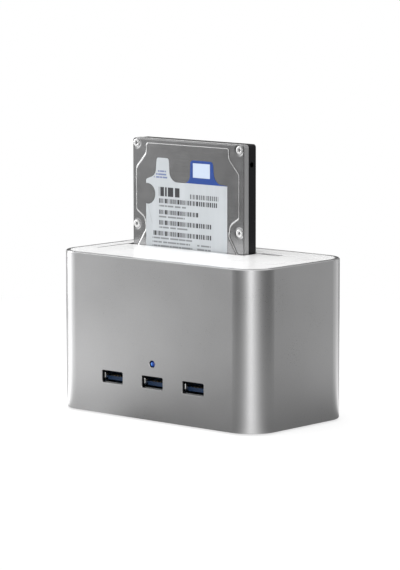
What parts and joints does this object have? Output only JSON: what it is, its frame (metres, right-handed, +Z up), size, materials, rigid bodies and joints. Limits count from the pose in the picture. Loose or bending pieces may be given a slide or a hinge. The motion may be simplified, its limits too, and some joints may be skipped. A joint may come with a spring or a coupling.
{
  "type": "hard drive docking station",
  "caption": "Desktop dock in a rounded metal sleeve with a top slot for bare drives, a small drive standing in it, and USB sockets along the front.",
  "frame": {"origin": "on the table under the middle of the station, at the bottom of its feet", "axes": "+X to the right as the front sockets are faced, +Y to the back with the power inlet, +Z up"},
  "size_m": [0.125, 0.069, 0.1272],
  "materials": {
    "satin_aluminium": "fine bead-blasted, clear anodised",
    "white_gloss": "smooth gloss white",
    "dark_plastic": "fine spark-eroded texture",
    "black_plastic": "moulded black nylon",
    "button_grey": "fine satin grey",
    "rubber": "soft matt black",
    "steel": "bright zinc plate",
    "socket_steel": "nickel plate",
    "socket_blue": "moulded blue plastic",
    "gold": "thin gold plate",
    "board_green": "green solder mask",
    "chip_black": "moulded epoxy",
    "can_metal": "drawn metal can",
    "lamp_blue": "clear blue, lit",
    "drive_cast": "cast, partly black coated",
    "drive_lid": "satin rolled steel",
    "bright_screw": "bright nickel plate",
    "label_paper": "printed satin film"
  },
  "bodies": {
    "station": {"housing_sleeve": "satin_aluminium", "top_cover": "white_gloss", "drive_well": "dark_plastic", "base_plate": "dark_plastic", "power_switch": "dark_plastic", "dock_connector": "black_plastic", "power_jack": "black_plastic", "rubber_foot_1": "rubber", "rubber_foot_2": "rubber", "rubber_foot_3": "rubber", "rubber_foot_4": "rubber", "flap_hinge_pin": "steel", "flap_spring": "steel", "base_screws": "steel", "cover_screws": "steel", "board_screws": "steel", "lamp_leads": "steel", "b_socket_shell": "socket_steel", "power_jack_pin": "socket_steel", "power_jack_contacts": "socket_steel", "port_1_shell": "socket_steel", "port_2_shell": "socket_steel", "port_3_shell": "socket_steel", "b_socket_core": "socket_blue", "port_1_tongue": "socket_blue", "port_2_tongue": "socket_blue", "port_3_tongue": "socket_blue", "b_socket_contacts": "gold", "dock_contacts": "gold", "port_1_contacts": "gold", "port_2_contacts": "gold", "port_3_contacts": "gold", "main_board": "board_green", "hub_chip": "chip_black", "bridge_chip": "chip_black", "flash_chip": "chip_black", "regulator_chip": "chip_black", "inductor_1": "chip_black", "inductor_2": "chip_black", "crystal_1": "can_metal", "crystal_2": "can_metal", "capacitor_1": "can_metal", "capacitor_2": "can_metal", "capacitor_3": "can_metal", "status_lamp": "lamp_blue"},
    "flap": {"slot_flap": "white_gloss"},
    "button": {"power_button": "button_grey"},
    "drive": {"drive_casting": "drive_cast", "drive_cover": "drive_lid", "drive_cover_screws": "bright_screw", "drive_label": "label_paper", "drive_board": "board_green", "drive_board_chips": "chip_black", "drive_board_screws": "bright_screw", "drive_plug": "black_plastic", "drive_plug_contacts": "gold"}
  },
  "joints": [
    {"name": "flap_swing", "type": "hinge", "parent": "station", "child": "flap", "pos_m": [0, -0.0137, 0.072], "axis": [-1, 0, 0], "range_deg": [0, 90], "stiffness_Nm_per_rad": 0.002, "springref_deg": -51.57, "deforming": ["flap_spring"]},
    {"name": "button_press", "type": "slide", "parent": "station", "child": "button", "axis": [0, -1, 0], "range_m": [0, 0.0015], "stiffness_N_per_m": 400, "springref_m": -0.001},
    {"name": "drive_lift", "type": "slide", "parent": "station", "child": "drive", "axis": [0, 0, 1], "range_m": [0, 0.056]}
  ]
}
